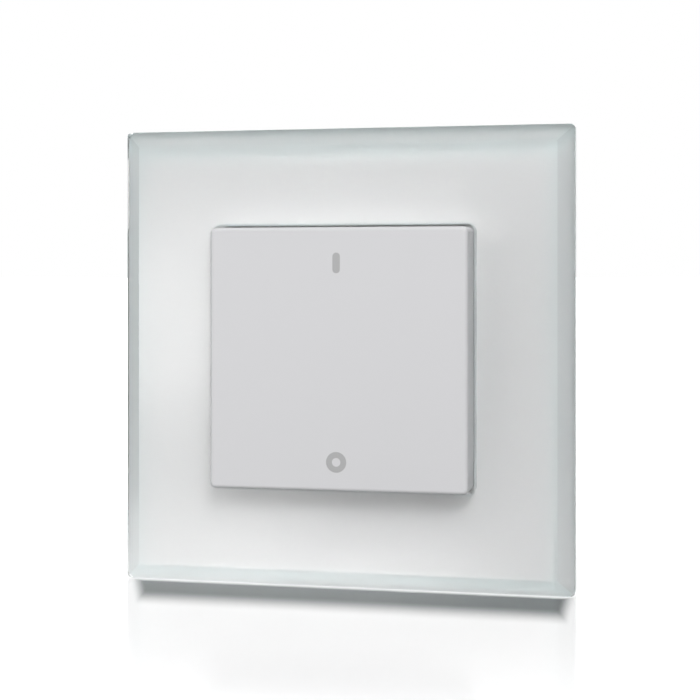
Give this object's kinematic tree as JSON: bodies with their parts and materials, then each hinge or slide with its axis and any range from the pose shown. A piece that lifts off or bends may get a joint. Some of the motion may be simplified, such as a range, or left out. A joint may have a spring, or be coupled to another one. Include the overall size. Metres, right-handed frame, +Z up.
{
  "type": "dimmer switch",
  "caption": "Wall dimmer: a square bevelled glass frame round a square momentary rocker marked I and O, over a snap-in radio module and a screw-on wall plate.",
  "frame": {"origin": "centre of the mounting plate's rear face, on the wall plane, which is also the centre of the wall-box screw pattern", "axes": "+Z up, front faces -Y, +X to the viewer's right, the wall is the plane y = 0"},
  "size_m": [0.086, 0.0158, 0.086],
  "materials": {
    "panel_glass": "clear float glass, polished, white lacquer behind",
    "foam_tape": "white closed-cell foam tape",
    "carrier_plastic": "white moulded plastic, fine spark texture",
    "plate_plastic": "light grey moulded plastic, fine texture",
    "module_plastic": "white moulded plastic, fine texture",
    "rocker_plastic": "white moulded plastic, satin",
    "button_plastic": "grey moulded plastic",
    "screw_steel": "zinc-plated steel",
    "spring_steel": "stainless spring strip",
    "contact_metal": "nickel-plated bronze strip",
    "cell_steel": "plain steel can",
    "switch_steel": "tin-plated sheet",
    "crystal_steel": "plated lid",
    "board_laminate": "green solder mask",
    "switch_plastic": "black moulded plastic",
    "plunger_plastic": "black moulded plastic",
    "chip_plastic": "black moulding compound",
    "chip_ceramic": "white fired ceramic",
    "capacitor_ceramic": "tan fired ceramic",
    "lamp_plastic": "clear moulded epoxy"
  },
  "bodies": {
    "frame": {"glass_panel": "panel_glass", "glass_bond_tape": "foam_tape", "frame_carrier": "carrier_plastic", "mounting_plate": "plate_plastic", "module_housing": "module_plastic", "rear_cover": "module_plastic", "rear_cover_screws": "screw_steel", "circuit_board": "board_laminate", "upper_tact_body": "switch_plastic", "upper_tact_cover": "switch_steel", "lower_tact_body": "switch_plastic", "lower_tact_cover": "switch_steel", "centring_spring_left": "spring_steel", "centring_spring_right": "spring_steel", "learn_tact_body": "switch_plastic", "coin_cell": "cell_steel", "battery_contact_negative": "contact_metal", "battery_contact_positive": "contact_metal", "radio_chip": "chip_plastic", "crystal": "crystal_steel", "chip_antenna": "chip_ceramic", "chip_capacitors": "capacitor_ceramic", "status_led": "lamp_plastic"},
    "rocker": {"rocker": "rocker_plastic"},
    "upper_plunger": {"upper_tact_plunger": "plunger_plastic"},
    "lower_plunger": {"lower_tact_plunger": "plunger_plastic"},
    "learn_button": {"learn_button": "button_plastic", "learn_tact_plunger": "plunger_plastic"}
  },
  "joints": [
    {"name": "rocker_tilt", "type": "hinge", "parent": "frame", "child": "rocker", "pos_m": [0, -0.0118, 0], "axis": [-1, 0, 0], "range_deg": [-2, 2], "stiffness_Nm_per_rad": 1.6, "deforming": ["centring_spring_left", "centring_spring_right"]},
    {"name": "upper_plunger_slide", "type": "slide", "parent": "frame", "child": "upper_plunger", "axis": [0, 1, 0], "range_m": [-0.000315, 0.000315]},
    {"name": "lower_plunger_slide", "type": "slide", "parent": "frame", "child": "lower_plunger", "axis": [0, 1, 0], "range_m": [-0.000315, 0.000315]},
    {"name": "learn_slide", "type": "slide", "parent": "frame", "child": "learn_button", "axis": [0, -1, 0], "range_m": [0, 0.00025], "stiffness_N_per_m": 4000}
  ],
  "couplings": [
    {"joint": "upper_plunger_slide", "follows": "rocker_tilt", "m_per_rad": 0.009},
    {"joint": "lower_plunger_slide", "follows": "rocker_tilt", "m_per_rad": -0.009}
  ]
}
